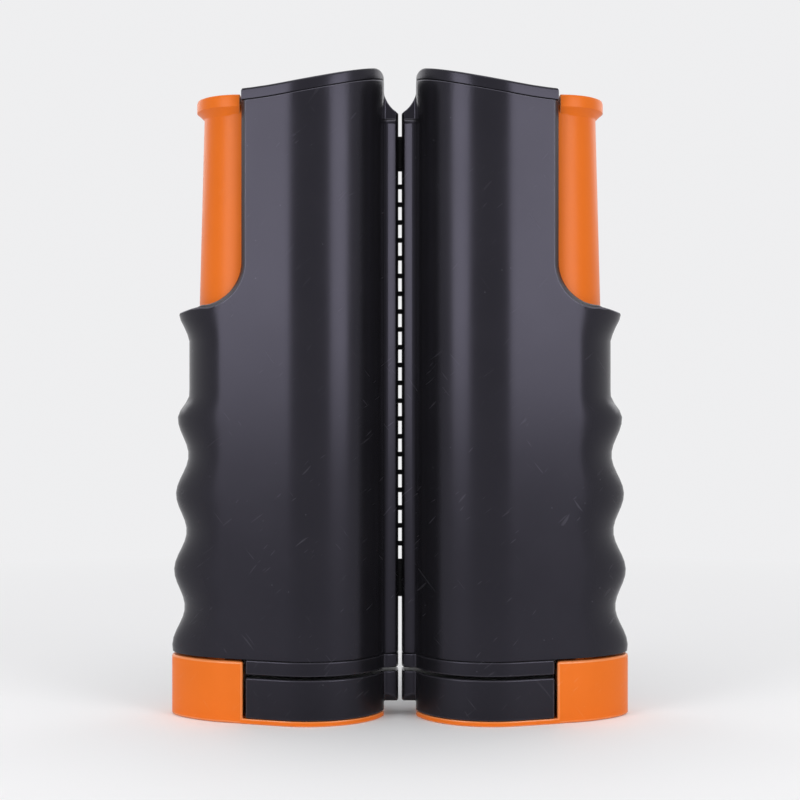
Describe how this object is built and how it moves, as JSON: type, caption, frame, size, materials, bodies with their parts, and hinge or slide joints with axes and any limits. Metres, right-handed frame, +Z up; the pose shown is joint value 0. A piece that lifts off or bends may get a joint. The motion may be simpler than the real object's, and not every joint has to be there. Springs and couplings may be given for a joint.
{
  "type": "table tennis net clamp",
  "caption": "Retractable table tennis net: two sprung clamp posts with push bars, standing side by side with the rolled net drawn from one to the other.",
  "frame": {"origin": "on the surface that the foot plates stand on, midway between the two posts, on their front-to-back centre plane", "axes": "+Z up, +X along the net from the reel post to the far post, +Y towards the side with the screws"},
  "size_m": [0.133, 0.044, 0.1867],
  "materials": {
    "shell_plastic": "satin moulded ABS, near black with a violet cast",
    "jaw_plastic": "satin black, slightly softer than the shells",
    "orange_plastic": "semi-gloss moulded ABS",
    "steel": "zinc plated",
    "spring_steel": "bare drawn wire and strip",
    "reel_plastic": "matt polypropylene",
    "bush_nylon": "matt acetal",
    "net_fabric": "knotted nylon mesh with woven hems"
  },
  "bodies": {
    "left_post": {"left_front_shell": "shell_plastic", "left_rear_shell": "shell_plastic", "left_top_cap": "shell_plastic", "left_upper_jaw": "jaw_plastic", "left_guide_rod": "steel", "left_spring_bracket": "shell_plastic", "left_shell_screws": "steel", "left_return_spring": "spring_steel", "reel_axle": "steel", "spring_drum": "reel_plastic", "recoil_spring": "spring_steel"},
    "left_slider": {"left_push_bar": "orange_plastic", "left_lower_jaw": "jaw_plastic", "left_jaw_screws": "steel"},
    "net_reel": {"reel_tube": "reel_plastic", "reel_bush_top": "bush_nylon", "reel_bush_bottom": "bush_nylon", "net_roll": "net_fabric"},
    "right_post": {"right_front_shell": "shell_plastic", "right_rear_shell": "shell_plastic", "right_top_cap": "shell_plastic", "right_upper_jaw": "jaw_plastic", "right_guide_rod": "steel", "right_spring_bracket": "shell_plastic", "right_shell_screws": "steel", "right_return_spring": "spring_steel", "net_rod": "steel", "net_span": "net_fabric"},
    "right_slider": {"right_push_bar": "orange_plastic", "right_lower_jaw": "jaw_plastic", "right_jaw_screws": "steel"}
  },
  "joints": [
    {"name": "left_press", "type": "slide", "parent": "left_post", "child": "left_slider", "axis": [0, 0, -1], "range_m": [0, 0.045], "stiffness_N_per_m": 300, "springref_m": -0.02, "deforming": ["left_return_spring"]},
    {"name": "net_pull", "type": "slide", "parent": "left_post", "child": "right_post", "axis": [1, 0, 0], "range_m": [0, 1.7], "stiffness_N_per_m": 1, "springref_m": -2, "deforming": ["net_span"]},
    {"name": "reel_spin", "type": "hinge", "parent": "left_post", "child": "net_reel", "pos_m": [-0.026, 0, 0.1], "axis": [0, 0, -1], "range_deg": [0, 8480], "deforming": ["recoil_spring"]},
    {"name": "right_press", "type": "slide", "parent": "right_post", "child": "right_slider", "axis": [0, 0, -1], "range_m": [0, 0.045], "stiffness_N_per_m": 300, "springref_m": -0.02, "deforming": ["right_return_spring"]}
  ],
  "couplings": [
    {"joint": "reel_spin", "follows": "net_pull", "rad_per_m": 86.957}
  ]
}
